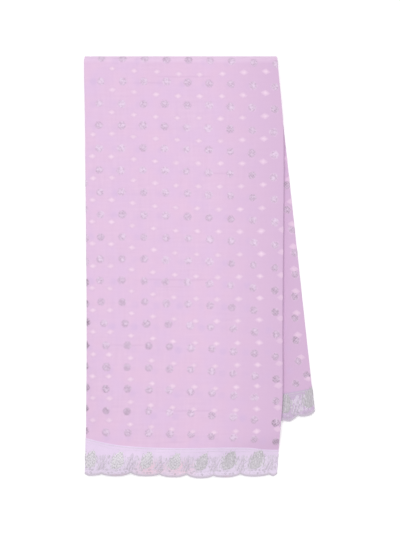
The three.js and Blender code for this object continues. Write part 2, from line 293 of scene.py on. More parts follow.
# %% Sheets of cloth
def grid(nu, nv):
    """A grid of nu by nv faces, and the column and row of each of its corners."""
    bm = bmesh.new()
    bmesh.ops.create_grid(bm, x_segments=nu, y_segments=nv, size=0.5)
    return bm, {vert: (round((vert.co.x + 0.5) * nu), round((vert.co.y + 0.5) * nv))
                for vert in bm.verts}


def flat_sheet(across, along, thick):
    """A flat sheet on the given lines, its face at z 0 and its wall below."""
    bm, corners = grid(len(across) - 1, len(along) - 1)
    for vert, (i, j) in corners.items():
        vert.co = (across[i], along[j], 0)
    bmesh.ops.solidify(bm, geom=bm.faces[:], thickness=thick)
    return bm


def mark_flat(bm):
    """Texture coordinates from the flat cloth, in metres."""
    uv = bm.loops.layers.uv.get("cloth") or bm.loops.layers.uv.new("cloth")
    for face in bm.faces:
        for loop in face.loops:
            loop[uv].uv = (loop.vert.co.x * MM, loop.vert.co.y * MM)


def lay_verts(verts, place):
    for vert in verts:
        vert.co = place(*vert.co)


test = flat_sheet([0, 1, 2], [0, 1], 0.2)
print("a solid sheet spans", sorted({round(v.co.z, 3) for v in test.verts}))
test.free()

# %% Finished pieces
RIM_ANGLE = math.radians(60)  # sharper edges than this are shaded as edges


def add_object(name, data, location=(0, 0, 0)):
    item = bpy.data.objects.new(name, data)
    item.location = location
    bpy.context.scene.collection.objects.link(item)
    return item


def finish_piece(name, bm, material):
    """A piece from a finished bmesh, with its faces outwards."""
    bmesh.ops.recalc_face_normals(bm, faces=bm.faces[:])
    for edge in bm.edges:
        edge.smooth = not edge.is_manifold or edge.calc_face_angle() < RIM_ANGLE
    for face in bm.faces:
        face.smooth = True
    mesh = bpy.data.meshes.new(name)
    bm.to_mesh(mesh)
    bm.free()
    mesh.materials.append(material)
    piece = add_object(name, mesh)
    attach(piece, "root")
    print(f"{name}: {sum(len(p.vertices) - 2 for p in mesh.polygons)} triangles")
    return piece


def finish_sheet(name, bm, material, slot, node, flat, rests_on, **more):
    """A piece of cloth and the solid that it stands for. How it was cut is not used."""
    piece = finish_piece(name, bm, material)
    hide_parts(node)


print("edges over", round(math.degrees(RIM_ANGLE)), "degrees stay sharp")

# %% [markdown]
# ## Thread and cloth finishes
# Each finish is a node tree on the cloth's own texture coordinates, so that a weave follows its
# sheet. A small kit keeps the trees short to read: one function adds a node, sets its inputs and
# links what is passed as a socket. What is even all over a finish is set on the shader itself.

# %% A kit for finishes
class Finish:
    """One material, and short ways to add nodes to it."""

    def __init__(self, name, roughness=0.8, metallic=0.0, sheen=0.0, sheen_tint=(1, 1, 1)):
        self.material = bpy.data.materials.new(name)
        self.material.use_nodes = True
        self.tree = self.material.node_tree
        self.inputs = self.tree.nodes["Principled BSDF"].inputs
        for socket, value in (("Roughness", roughness), ("Metallic", metallic),
                              ("Sheen Weight", sheen), ("Sheen Roughness", 0.4),
                              ("Sheen Tint", sheen_tint), ("Specular IOR Level", 0.25)):
            self.fill(self.inputs[socket], value)
        coordinates = self.add("TexCoord").outputs
        self.uv, self.object = coordinates["UV"], coordinates["Object"]

    def fill(self, socket, value):
        """Links what another node gives, and sets anything else."""
        if isinstance(value, bpy.types.NodeSocket):
            self.tree.links.new(value, socket)
        else:
            socket.default_value = (*value, 1) if socket.type == "RGBA" else value

    def add(self, kind, *values, **settings):
        """A node with its first inputs filled, in their own order."""
        node = self.tree.nodes.new("ShaderNode" + kind)
        for key, value in settings.items():
            setattr(node, key, value)
        for socket, value in zip(node.inputs, values):
            self.fill(socket, value)
        return node

    def math(self, operation, a, b=0):
        return self.add("Math", a, b, operation=operation).outputs[0]

    def sum(self, *parts):
        total = parts[0]
        for part in parts[1:]:
            total = self.math("ADD", total, part)
        return total

    def times(self, a, b):
        return self.math("MULTIPLY", a, b)

    def apart(self, a, b):
        return self.math("ABSOLUTE", self.math("SUBTRACT", a, b))

    def vector(self, operation, a, b=(0, 0, 0)):
        outputs = self.add("VectorMath", a, b, operation=operation).outputs
        return outputs["Value" if operation in ("LENGTH", "DOT_PRODUCT") else "Vector"]

    def tone(self):
        """How light this stitch or motif is: partly the thread's own tone, partly painted light and
        shade.
        """
        return self.add("Attribute", attribute_name="tone").outputs["Fac"]

    def along(self):
        """Metres across the panel and along the cloth."""
        return self.add("SeparateXYZ", self.uv).outputs[:2]

    def placed(self, scale, turn=0.0, shift=(0, 0)):
        """The cloth's coordinates, turned and scaled. A scale of 1000 counts millimetres."""
        size = scale if isinstance(scale, tuple) else (scale, scale)
        return self.add("Mapping", self.uv, (*shift, 0), (0, 0, math.radians(turn)),
                        (*size, 1)).outputs[0]

    def noise(self, place, scale, detail):
        return self.add("TexNoise", place, 0, scale, detail).outputs["Fac"]

    def cloud(self, scale, detail=2):
        """Soft uneven patches, about 0.5 on average."""
        return self.noise(self.placed(scale), 1, detail)

    def flecks(self, scale, detail=1):
        """Like a cloud, but it differs between copies of one motif."""
        return self.noise(self.object, scale, detail)

    def threads(self, pitch, turn, wander):
        """Even ridges, one for each pitch in millimetres, from 0 in the grooves to 1."""
        scale = 1000 / pitch / 20 * 2 * math.pi
        return self.add("TexWave", self.placed(scale, turn), 1, wander, 1, wave_type="BANDS",
                        bands_direction="X").outputs["Fac"]

    def crossing(self, pitch, turn=45, wander=0.5):
        """Two sets of threads that lean to either side."""
        return self.math("MAXIMUM", self.threads(pitch, turn, wander),
                         self.threads(pitch, -turn, wander))

    def range(self, value, low, high, to_low=0.0, to_high=1.0, soft=False):
        slope = "SMOOTHSTEP" if soft else "LINEAR"
        return self.add("MapRange", value, low, high, to_low, to_high,
                        interpolation_type=slope).outputs["Result"]

    def blend(self, share, a, b):
        """Colour a where share is 0, b where it is 1."""
        node = self.add("Mix", share, data_type="RGBA")
        self.fill(node.inputs[6], a)
        self.fill(node.inputs[7], b)
        return node.outputs[2]

    def coats(self, ground, *coats):
        """Colours laid over the ground one after another, each with its share."""
        for share, colour in coats:
            ground = self.blend(share, ground, colour)
        return ground

    def bump(self, height, depth, under=None):
        """Relief of so many millimetres."""
        node = self.add("Bump", 1, depth * MM)
        self.fill(node.inputs["Height"], height)
        if under:
            self.fill(node.inputs["Normal"], under)
        return node.outputs["Normal"]

    def done(self, colour, normal, roughness=None):
        for socket, value in (("Base Color", colour), ("Normal", normal), ("Roughness", roughness)):
            if value:
                self.fill(self.inputs[socket], value)
        return self.material


print("a finish is put together from", ", ".join(n for n in vars(Finish) if n[0] != "_"))

# %% [markdown]
# ## The orchid cloth
# The ground is a soft crepe of twisted yarn, so its surface is dull and slightly pebbled. Warp and
# weft never take the dye quite alike, which shows as faint streaks in both directions. Because it
# is a little sheer, the dots of the layer beneath show through as pale clouds.

# %% Orchid crepe
BACK_FROM, BACK_TO = 0.305, 0.33  # metres along the cloth where it has turned to the back
PRESSED_LINES = [  # v, and where it starts and ends across the panel: sharp lines of old foldings, darkened with painted shade
    (266, 88, 190), (257, 60, 128), (-17, 60, 185), (-27, 84, 150), (-199.6, 90, 200),
    (-243, 96, 150), (131, 150, 214), (-108, 20, 96),
]


def pressed_line_shade(cloth, across, along):
    """Where shade is painted along the pressed lines: 1 on each line, fading at its ends and a
    little way to both sides.
    """
    wavy = cloth.sum(along, cloth.range(cloth.cloud((26, 2)), 0, 1, -0.002, 0.002))
    pressed = 0.0
    for height, start, end in PRESSED_LINES:
        line = cloth.range(cloth.apart(wavy, height * MM), 0.0003, 0.0022, 1, 0, soft=True)
        for place, fade in ((start * MM, 0.03), (end * MM, -0.03)):
            line = cloth.times(line, cloth.range(across, place, place + fade, soft=True))
        pressed = cloth.sum(pressed, line)
    return pressed


def seen_through(cloth):
    """Pale rounds where a dot of the next layer lies underneath, some plainer than others."""
    cell = cloth.vector("FRACTION", cloth.placed(1000 / 30.9, 1.5, (0.31, 0.12)))
    distance = cloth.vector("LENGTH", cloth.vector("SUBTRACT", cell, (0.5, 0.5, 0)))
    return cloth.times(cloth.range(distance, 0.24, 0.08, soft=True),
                       cloth.range(cloth.cloud(30, 1), 0.35, 0.7, 0, 0.4))


def crepe(name):
    cloth = Finish(name, sheen=0.35, sheen_tint=(1.0, 0.9, 1.0))
    across, along = cloth.along()
    weave = cloth.times(cloth.threads(0.5, 0, 0.6), cloth.threads(0.55, 90, 0.6))
    pebble = cloth.cloud(900)
    streaks = cloth.sum(cloth.cloud((26, 240), 3), cloth.cloud((210, 22), 3))
    painted_shade = cloth.math("MAXIMUM", cloth.range(across, 0.172, 0.262, 0, 0.78),
                        cloth.range(along, BACK_FROM, BACK_TO))
    from_crest = cloth.apart(along, (FOLD_Y + FOLD_RUN / 2) * MM)
    ground = cloth.blend(cloth.range(streaks, 0.7, 1.3),
                         (0.685, 0.488, 0.672), (0.735, 0.534, 0.716))
    ground = cloth.coats(
        ground, (cloth.range(cloth.cloud(17), 0.35, 0.65, 0, 0.6), (0.745, 0.516, 0.692)),
        (cloth.range(cloth.cloud(31), 0.4, 0.65, 0, 0.5), (0.69, 0.502, 0.73)),
        (painted_shade, (0.632, 0.44, 0.628)),  # painted shade, darker towards the right-hand fold and on the back fall under the front stack
        (cloth.range(from_crest, 0.017, 0.005, 0, 0.75), (0.87, 0.68, 0.86)),  # painted light on the crest of the fold
        (seen_through(cloth), (0.6, 0.45, 0.68)),
        (cloth.range(weave, 0, 1, 0.1, 0), (0.5, 0.32, 0.5)),
        # painted shade along the old pressed lines
        (cloth.times(pressed_line_shade(cloth, across, along), 0.34), (0.6, 0.41, 0.59)))
    return cloth.done(ground, cloth.bump(weave, 0.05, cloth.bump(pebble, 0.12)),
                      cloth.range(pebble, 0.3, 0.7, 0.72, 0.9))


orchid = crepe("orchid_crepe")
print("orchid crepe:", len(orchid.node_tree.nodes), "nodes")

# %% [markdown]
# ## The border net
# The border is a finer, paler cloth that carries the embroidery. Its mesh of thin diagonal threads
# is a shade nearer to lavender, it greys towards the hem, and it blushes pink in two places.

# %% Lavender net
def net(name):
    cloth = Finish(name, sheen=0.3, sheen_tint=(0.95, 0.92, 1.0))
    mesh, patches, along = cloth.crossing(1.1, 42, 0.4), cloth.cloud(40), cloth.along()[1]
    ground = cloth.blend(cloth.range(patches, 0.3, 0.7), (0.745, 0.608, 0.802), (0.79, 0.65, 0.836))
    ground = cloth.coats(
        # painted shade on the back fall's border, where the front stack shades it
        ground, (cloth.range(along, BACK_FROM, BACK_TO), (0.548, 0.428, 0.588)),
        (cloth.range(along, -0.258, -0.274, 0, 0.5, soft=True), (0.725, 0.668, 0.778)),
        (cloth.range(mesh, 0.35, 0.9, 0.2, 0), (0.56, 0.43, 0.61)))
    for across in (0.092, 0.135):
        blush = cloth.vector("LENGTH", cloth.placed((36, 62), 0, (-36 * across, 17.4)))
        ground = cloth.blend(cloth.range(blush, 1.15, 0.2, 0, 0.72, soft=True), ground,
                             (0.82, 0.57, 0.67))
    satin = cloth.bump(cloth.threads(1.7, 0, 1.2), 0.1)
    return cloth.done(ground, cloth.bump(mesh, 0.12, satin),
                      cloth.range(patches, 0.3, 0.7, 0.6, 0.8))


lavender = net("lavender_net")
print("lavender net:", len(lavender.node_tree.nodes), "nodes")

# %% [markdown]
# ## The threads
# A silver-lilac thread is laid as an open lattice in the dots, a greyer one fills the mangoes, two
# satin cords make the lines and leaves, and a pale pink thread the small lozenges. Metallic yarn
# is a metal foil round a core, so it gets a share of metal and a broken shine. Each motif carries
# a tone, from dull to bright, as the light catches one and misses the next.

# %% Thread of the dots
def deepened(colour, share):
    return tuple(share * c for c in colour)


def foil(yarn, colour, crossing, depth):
    """Crossing threads of twisted foil: fine ridges on broad ones, and a broken shine."""
    relief = yarn.bump(crossing, depth, yarn.bump(yarn.threads(0.55, 20, 0.5), 0.06))
    return yarn.done(colour, relief, yarn.range(yarn.flecks(500), 0.3, 0.7, 0.4, 0.62))


def dot_thread(name, dark, light, ground):
    """Open lattice that thins out to the cloth round its rim, with bright and dull flecks."""
    yarn = Finish(name, roughness=0.5, metallic=0.1, sheen=0.2)
    crossing, tone, place = yarn.crossing(2.7), yarn.tone(), yarn.placed(1000)
    lean, tufts = yarn.vector("DOT_PRODUCT", place, (0.7, 0.7, 0)), yarn.flecks(260, 2)
    radius = yarn.sum(yarn.vector("LENGTH", place), yarn.range(tufts, 0.35, 0.65, 0.9, -0.9))
    uneven = yarn.sum(yarn.math("MAXIMUM", tone, 0.32),
                      yarn.range(yarn.flecks(420), 0.3, 0.7, -0.32, 0.32),
                      yarn.range(tufts, 0.38, 0.62, -0.3, 0.3),
                      yarn.range(lean, -6, 6, -0.18, 0.18),
                      yarn.range(radius, 0.5, 4.2, 0.24, -0.1))
    shade = yarn.times(yarn.range(tone, -0.9, 0.32, 1, 0),
                       yarn.range(yarn.flecks(230), 0.36, 0.62, 1.5, 0.3))
    openings = yarn.times(yarn.range(crossing, 0.45, 0.9, 1, 0),
                          yarn.range(radius, 1, 5.6, 0.55, 0.7))
    fringe = yarn.times(yarn.range(radius, 3.7, 6.4, soft=True),
                        yarn.range(yarn.flecks(300), 0.35, 0.6, 1, 0.5))
    colour = yarn.coats(yarn.blend(uneven, dark, light), (shade, deepened(dark, 0.5)),
                        (yarn.range(yarn.threads(1.4, 90, 0.8), 0.1, 0.5, 0.22, 0), dark),
                        (openings, ground), (fringe, ground))
    return foil(yarn, colour, crossing, 0.25)


silver = dot_thread("silver_lilac_thread", (0.5, 0.378, 0.5), (0.75, 0.61, 0.765),
                    (0.7, 0.495, 0.69))
print("dots:", silver.name)

# %% Threads of the borders
def lattice_thread(name, dark, light, gap):
    """Threads crossing both ways over the cloth, with small openings between."""
    yarn = Finish(name, roughness=0.5, metallic=0.1, sheen=0.2)
    crossing = yarn.crossing(3.4)
    uneven = yarn.sum(yarn.tone(), yarn.range(yarn.flecks(330), 0.25, 0.75, -0.25, 0.25))
    colour = yarn.coats(yarn.blend(uneven, dark, light),
                        (yarn.range(crossing, 0.45, 0.9, 0.8, 0), gap))
    return foil(yarn, colour, crossing, 0.3)


def satin_thread(name, dark, light, rosy=0.0):
    """Close parallel stitches across a narrow band. Some stretches can be a browner rose."""
    yarn = Finish(name, roughness=0.5, metallic=0.12, sheen=0.2)
    stitches = yarn.threads(0.7, 12, 0.4)
    uneven = yarn.sum(yarn.tone(), yarn.range(yarn.cloud(420), 0.2, 0.8, -0.4, 0.4))
    colour = yarn.coats(yarn.blend(uneven, dark, light),
                        (yarn.range(stitches, 0, 0.6, 0.5, 0), deepened(dark, 0.82)),
                        (yarn.range(yarn.cloud(26), 0.55, 0.72, 0, rosy), (0.56, 0.38, 0.45)))
    return yarn.done(colour, yarn.bump(stitches, 0.12), yarn.range(stitches, 0, 1, 0.65, 0.42))


jaali = lattice_thread("border_lattice_thread", (0.46, 0.43, 0.465), (0.8, 0.76, 0.815),
                       (0.5, 0.46, 0.51))
cord_thread = satin_thread("grey_lilac_cord", (0.58, 0.52, 0.6), (0.76, 0.7, 0.78), rosy=0.5)
pale_thread = satin_thread("pale_lavender_cord", (0.7, 0.6, 0.74), (0.86, 0.77, 0.89))
print("borders:", [m.name for m in (jaali, cord_thread, pale_thread)])

# %% Thread of the lozenges
LOZENGE = 6.6, 4.7  # half length and half width


def lozenge_thread(name, dark, light, ground):
    """Satin stitches that thin out towards the lozenge's rim, and on a faint one all over."""
    yarn = Finish(name, roughness=0.55, sheen=0.2)
    stitches, tone = yarn.threads(0.6, 12, 0.4), yarn.tone()
    uneven = yarn.sum(tone, yarn.range(yarn.flecks(420), 0.3, 0.7, -0.3, 0.3))
    sides = yarn.vector("ABSOLUTE", yarn.placed((1000 / LOZENGE[0], 1000 / LOZENGE[1])))
    reach = yarn.sum(yarn.times(yarn.vector("DOT_PRODUCT", sides, (1, 1, 0)), 0.6),
                     yarn.times(yarn.vector("LENGTH", sides), 0.4))
    thin = yarn.math("MAXIMUM", yarn.range(reach, 0.22, 0.92),
                     yarn.range(tone, -0.9, 0.1, 0.75, 0))
    colour = yarn.coats(yarn.blend(uneven, dark, light), (thin, ground))
    return yarn.done(colour, yarn.bump(stitches, 0.1), yarn.range(stitches, 0, 1, 0.65, 0.5))


rose = lozenge_thread("rose_thread", (0.77, 0.57, 0.73), (0.86, 0.66, 0.81), (0.7, 0.498, 0.685))
print("lozenges:", rose.name)

# %% [markdown]
# ## The outer panel
# This is the sheet that everyone sees: up the front, over the fold and down the underside, with
# both edges turned in. Its rows are close where it bends and wider on the flat underside.

# %% Faces and ends of a panel
HEM_Y = -260.0  # the front's seam and hem are read across the panel at this height


def folded(u, z, lift):
    """(u, depth) on a panel whose edges are turned under; z counts outwards from its face."""
    across, into = folded_edges(u, -z, TURN + lift, CLOTH)
    return across * (PANEL + 2 * lift) / PANEL - lift, into - lift


def on_outer(u, v, z, lift=0.0):
    """The outer face of the strip."""
    u, depth = folded(u, z, lift)
    return lay(u, v, STACK - depth)


def on_inner(u, v, z, lift=0.0):
    """The face that the strip folds in on itself, which shows on the back fall."""
    u, depth = folded(u, z, lift)
    return lay(u, v, depth)


def front_x(u):
    return mix(front_left(HEM_Y), front_right(HEM_Y), clamp(u / PANEL))


def seam_front(u):
    return front_seam(front_x(u))


def hem_front(u):
    """The hem rises a little at both of its ends."""
    return front_hem(front_x(u)) + 1 + 2 * (1 - ease(u, 0, 5)) + 3 * ease(u, 265, 271)


def seam_back(u):
    return back_run(mix(*BACK_SEAM, u / PANEL))


def hem_back(u):
    """The back border narrows a little towards its right edge."""
    return seam_back(u) + BACK_BORDER - 3.4 * (1 - ease(u, 224, 233)) - 3.5 * ease(u, 232, 258)


print(f"front border at the middle: {seam_front(PANEL / 2) - hem_front(PANEL / 2):.1f} mm deep")

# %% Outer panel
PANEL_CUT = 0.301, 1.068  # metres across and along, flat
SEAM_LAP = 5.0  # the panel runs on this far under the border that is sewn to its edge
FIRST_V = -250.0  # v where a panel's grid starts
SHEARED = 90.0  # length at each end that is sheared to run along the seam


def rows(step, fold=1.9):
    """v of the rows of a panel, closer round the fold."""
    top = FOLD_Y + FOLD_RUN
    return (spaced(FIRST_V, FOLD_Y, step)[:-1] + spaced(FOLD_Y, top, fold)[:-1]
            + spaced(top, seam_back(0), step * 1.5))


def fit_to_seams(bm, lap, mirrored=False):
    """Shears the two ends of a flat panel so that they run along the seams."""
    last = seam_back(0)
    for vert in bm.verts:
        u, v, z = vert.co
        at = clamp(PANEL - u if mirrored else u, 0, PANEL)
        v += (1 - ease(v, FIRST_V, FIRST_V + SHEARED)) * (seam_front(at) - lap - FIRST_V)
        v += ease(v, last - SHEARED, last) * (seam_back(at) + lap - last)
        vert.co = (u, v, z)


def panel(name, middle, along, place, node):
    """A whole sheet, from its flat cut to its place in the strip."""
    bm = flat_sheet(panel_lines(middle), along, CLOTH)
    fit_to_seams(bm, SEAM_LAP)
    mark_flat(bm)
    lay_verts(bm.verts, place)
    finish_sheet(name, bm, orchid, "body_cloth", node, PANEL_CUT, "pleat_folds")


panel("outer_panel", spaced(0, PANEL, 3.4), rows(4.6), on_outer, "front_fall")

# %% [markdown]
# ## The panels inside
# Pleating leaves one folded edge after another down both sides. Only those edges can be seen, so
# each inner pleat is a narrow strip bent round its fold. Their edges wander by a millimetre or so,
# as hand-folded cloth does, and the two sides are half a pleat out of step. The innermost panel is
# a whole sheet, because the back fall shows its face at the right.

# %% Inner panel
panel("inner_panel", spaced(0, 190, 15) + spaced(190, PANEL, 3.2)[1:], rows(7, 4), on_inner,
      "back_fall")

# %% Pleats between the two panels
PLEATS = 8
PLEAT_TURN, PLEAT_CLOTH, PLEAT_LEG = 0.27, 0.16, 16.0
PLEAT_FROM, PLEAT_TO = 1.75, 7.25  # depths that the pleats share
WAVES = (0.4, 61, 2.3), (0.3, 143, 4.1), (0.22, 29, 1.7)  # size, length, change from pleat to pleat


def gather(bm, shape, tone=0.5):
    """Adds a finished shape to a piece, and says how light its thread is."""
    layer = bm.verts.layers.float.get("tone") or bm.verts.layers.float.new("tone")
    mesh = bpy.data.meshes.new("shape")
    shape.to_mesh(mesh)
    start = len(bm.verts)
    bm.from_mesh(mesh)
    bpy.data.meshes.remove(mesh)
    bm.verts.ensure_lookup_table()
    added = bm.verts[start:]
    for vert in added:
        vert[layer] = tone
    return added


def wander(seed, v):
    """How far a folded edge stands back from the strip's side, in millimetres."""
    return 0.75 + sum(size * math.sin(v / length + seed * turn)
                      for size, length, turn in WAVES)


strip_lines = (fold_lines(PLEAT_TURN, PLEAT_CLOTH, PLEAT_LEG, 8, 5)
               + spaced(PLEAT_TURN, PLEAT_LEG, 8)[1:])
bm = bmesh.new()
for side in (0, 1):
    strip = flat_sheet(strip_lines, rows(11, 3.2), PLEAT_CLOTH)
    fit_to_seams(strip, 0, mirrored=side == 1)
    mark_flat(strip)
    for k in range(PLEATS):
        depth = mix(PLEAT_FROM, PLEAT_TO, (k + 1 + 0.5 * side) / (PLEATS + 0.5))
        for vert in gather(bm, strip):
            u, v, z = vert.co
            across, into = folded_edges(u, -z, PLEAT_TURN, PLEAT_CLOTH)
            across += wander(3 * k + 11 * side, v)
            vert.co = lay(PANEL - across if side else across, v, depth - into)
    strip.free()
finish_sheet("pleat_folds", bm, orchid, "body_cloth", "inner_layers", (0.53, PANEL_CUT[1]),
             "inner_panel")

# %% [markdown]
# ## The scalloped borders
# The border's lower edge is cut into shallow scallops that meet in sharp notches. The notches and
# their heights are a small table, and a rounded arc runs between each pair. All twenty layers end
# in such an edge. The loose ones behind lie a little out of step, which gives the doubled edge.

# %% Scallops
FRONT_NOTCHES = [(-13.5, 3.5), (23.8, 3.4), (64.4, 5.6), (104.3, 3.4), (142.8, 5.4), (180.6, 3.4),
                 (218.4, 4.4), (259, 3.2), (276, 9)]
BACK_NOTCHES = [(-29.1, 3), (10.2, 4), (49.5, 5), (88.8, 4.4), (128.1, 3.6), (167.4, 5),
                (206.7, 4.2), (245.4, 5.5), (272.5, 9.5), (300, 4)]
ROUNDNESS = 0.95  # of a scallop; at 1 it would meet its notches upright
BAND_LIFT = 0.3  # the border lies on the edge of the panel


def near(u):
    """The same place on the face, for one that has gone round a folded edge."""
    return -u if u < 0 else (2 * PANEL - u if u > PANEL else u)


def scallop_rise(notches, u):
    """Height of the cut edge over the hem line at a place across the border."""
    places = [place for place, _ in notches]
    i = int(clamp(bisect_right(places, u) - 1, 0, len(notches) - 2))
    t = clamp(2 * (u - places[i]) / (places[i + 1] - places[i]) - 1, -1, 1)
    height = notches[i][1] if t < 0 else notches[i + 1][1]
    return height * (1 - math.sqrt(1 - ROUNDNESS * t * t)) / (1 - math.sqrt(1 - ROUNDNESS))


class Border:
    """Where one border lies: its seam and hem as v, and the way from the hem to the seam."""

    def __init__(self, seam, hem, notches, up, face):
        self.seam, self.hem, self.notches, self.up, self.face = seam, hem, notches, up, face

    def v(self, u, above):
        """v of a place so many millimetres above the hem line."""
        return self.hem(clamp(u, 0, PANEL)) + self.up * above

    def width(self, u):
        u = clamp(u, 0, PANEL)
        return abs(self.seam(u) - self.hem(u))

    def place(self, u, v, z):
        return self.face(u, v, z, BAND_LIFT)


front_side = Border(seam_front, hem_front, FRONT_NOTCHES, 1, on_outer)
back_side = Border(seam_back, hem_back, BACK_NOTCHES, -1, on_inner)
under_side = Border(seam_back, hem_back, BACK_NOTCHES, -1, on_outer)
print("scallops:", [round(scallop_rise(FRONT_NOTCHES, u), 1) for u in range(0, 80, 8)])

# %% Flat bands
def band_middle(notches, step):
    """Lines across a band, with one on each notch."""
    places = [0] + [u for u, _ in notches if 0 < u < PANEL] + [PANEL]
    return [u for start, end in zip(places, places[1:]) for u in spaced(start, end, step)[:-1]]


def band_sheet(border, lines, count, thick, lap=2.5, slip=0.0, short=0.0):
    """A flat band between its seam and its cut edge. slip moves the scallops sideways."""
    bm = flat_sheet(lines, spaced(0, 1, 1 / count), thick)
    for vert in bm.verts:
        u, share, z = vert.co
        low = scallop_rise(border.notches, near(u) + slip) + short
        vert.co = (u, border.v(u, mix(low, border.width(u) + lap, share ** 1.5)), z)
    mark_flat(bm)
    return bm


print("lines across the front band:", len(band_middle(FRONT_NOTCHES, 2)))

# %% Border bands
BORDER_CUT = 0.301, 0.045  # metres across and along, flat
BAND_CLOTH = 0.38

for name, border, step, node, rests_on in (
        ("front_border_band", front_side, 2.0, "front_border", "outer_panel"),
        ("back_border_band", back_side, 2.6, "back_border", "inner_panel"),
        ("under_border_band", under_side, 2.6, "back_border_layers", "outer_panel")):
    bm = band_sheet(border, panel_lines(band_middle(border.notches, step)), 16, BAND_CLOTH)
    lay_verts(bm.verts, border.place)
    finish_sheet(name, bm, lavender, "border_cloth", node, BORDER_CUT, rests_on)

# %% Loose hems behind them
HEM_TURN, HEM_CLOTH = 0.3, 0.16
HEM_LOOP, HEM_DEEP = 0.54, 0.042  # metres of border in one flattened loop, and its mean depth
chance = random.Random(11)


def loose_hems(name, border, first, last, count, node):
    """A stack of flattened loops of border, each a little out of step with the next."""
    lines = panel_lines(band_middle([], 4.2), HEM_TURN, HEM_CLOTH, PANEL / 2 - 2, 8.5)
    bm = bmesh.new()
    for k in range(count):
        band = band_sheet(border, lines, 3, HEM_CLOTH, 0, chance.uniform(-2, 2),
                          chance.uniform(0.5, 3))
        left, right = chance.uniform(0.5, 1.5), chance.uniform(0.5, 1.5)
        for vert in gather(bm, band):
            u, v, z = vert.co
            across, into = folded_edges(u, -z, HEM_TURN, HEM_CLOTH)
            vert.co = lay(mix(left, PANEL - right, across / PANEL), v,
                          mix(first, last, k / (count - 1)) - into)
        band.free()
    finish_sheet(name, bm, lavender, "border_cloth", node, (count * HEM_LOOP, BORDER_CUT[1]),
                 "outer_panel", area=count * HEM_LOOP * HEM_DEEP)


loose_hems("front_hems", front_side, 0.75, 7.1, 10, "front_border_layers")
loose_hems("back_hems", back_side, 2.4, 7.1, 8, "back_border_layers")

# %% [markdown]
# ## Dots and lozenges
# A buti is a small motif repeated all over a cloth. This one is a round of open lattice about
# twelve millimetres across, in rows some three centimetres apart, with a row of pale pink lozenges
# between. Each is one low closed shape, a cone cut short and inset so that it rises softly. It is
# copied to its place while flat, and laid with the same function as its cloth, so a dot that sits
# on a folded edge bends round it.

# %% One dot and one lozenge
DOT_RADIUS = 6.2
RIM_RISE, HUB_RISE = 0.1, 0.12  # of a motif, in millimetres


def mound(sides, outline, rings):
    """A low closed mound. outline(angle) is its radius, rings are (inset, rise) steps."""
    bm = bmesh.new()
    bmesh.ops.create_cone(bm, cap_ends=True, segments=sides, radius1=1, radius2=0.82,
                          depth=RIM_RISE)
    bmesh.ops.translate(bm, verts=bm.verts[:], vec=(0, 0, RIM_RISE / 2))
    top = [face for face in bm.faces if face.normal.z > 0.9]
    for inset, rise in rings:
        bmesh.ops.inset_region(bm, faces=top, thickness=inset, depth=rise)
    hub = bmesh.ops.poke(bm, faces=top)["verts"]
    bmesh.ops.translate(bm, verts=hub, vec=(0, 0, HUB_RISE))
    for vert in bm.verts:
        along, across = outline(math.atan2(vert.co.y, vert.co.x))
        vert.co.x *= along
        vert.co.y *= across
    mark_flat(bm)
    return bm


def petals(angle):
    return (DOT_RADIUS * (1 + 0.06 * math.cos(6 * angle)),) * 2


def lozenge_outline(angle):
    corner = 1 - 0.22 * abs(math.sin(2 * angle))
    return LOZENGE[0] * corner, LOZENGE[1] * corner


dot = mound(12, petals, [(0.14, 0.14), (0.2, -0.05)])
lozenge = mound(8, lozenge_outline, [(0.26, 0.12)])
print("faces of a dot:", len(dot.faces), "and of a lozenge:", len(lozenge.faces))

# %% Where they lie
DOT_STEP, LOZENGE_STEP = 30.87, 30.69  # from row to row
LAST = 9  # the column of lozenges on the right-hand fold, which are faint
TOP_DOTS, TOP_LOZENGES = 291.9, 279.0  # y of their first rows
DOT_DROOP = through([(0, 7), (3, 9.1), (7, 11.2), (9.5, 13.3), (12, 16), (16, 16), (17, 12.6)])
DOT_SIDE = through([(0, 1.8), (1, 1), (2, -0.2), (5, -0.7), (8, 1.3), (10, 0.6), (12, -0.4),
                    (17, -0.4)])
DOT_UP = through([(0, -1), (1, -1.4), (9, -1.7), (10, -1), (12, 1.2), (15, 1.8), (17, 3)])


def front_place(x, y):
    """u and v of a place on the front, seen from above."""
    u = (x - front_left(y)) * PANEL / (front_right(y) - front_left(y))
    if y > FOLD_Y:
        reach = CREASE + STACK
        y = FOLD_Y + reach * math.asin(min((y - FOLD_Y) / reach, 1))
    return u, y


def back_place(x, y):
    """u and v of a place on the back fall, seen from above."""
    return (x - back_left(y)) * PANEL / BACK_WIDTH, back_run(y)


def dot_place(i, j):
    """Row i down from the fold, column j from the left. Each row droops to the right."""
    y = TOP_DOTS - DOT_STEP * i - DOT_DROOP(i) * (j / 8) ** 2.2 + DOT_UP(i)
    y += chance.uniform(-0.7, 0.7)
    x = mix(-139.6 + 30.4 * j, -130.2 + 29.54 * j, ease(-y, 25, 116)) + DOT_SIDE(i)
    return front_place(x + chance.uniform(-0.7, 0.7), y)


def lozenge_place(i, k):
    """The lozenges hang in slack rows between the dots."""
    y = TOP_LOZENGES - LOZENGE_STEP * i
    down = clamp((TOP_LOZENGES - y) / 504)
    droop = mix(-2, 8.4, ease(y, TOP_LOZENGES, -30)) if k else 4.5 * down
    y -= mix(9.2, 11.2, down) * math.sin(math.pi * max(k - 1, 0) / LAST) + droop * (k - 1) / 8
    x = mix(-152.2 + 30.5 * k, -156.6 + 29.33 * k, down) if k else -149.7
    return front_place(x + chance.uniform(-0.8, 0.8), y - 1.2 + chance.uniform(-0.8, 0.8))


chance = random.Random(5)
print("first dot:", [round(c, 1) for c in dot_place(0, 0)])

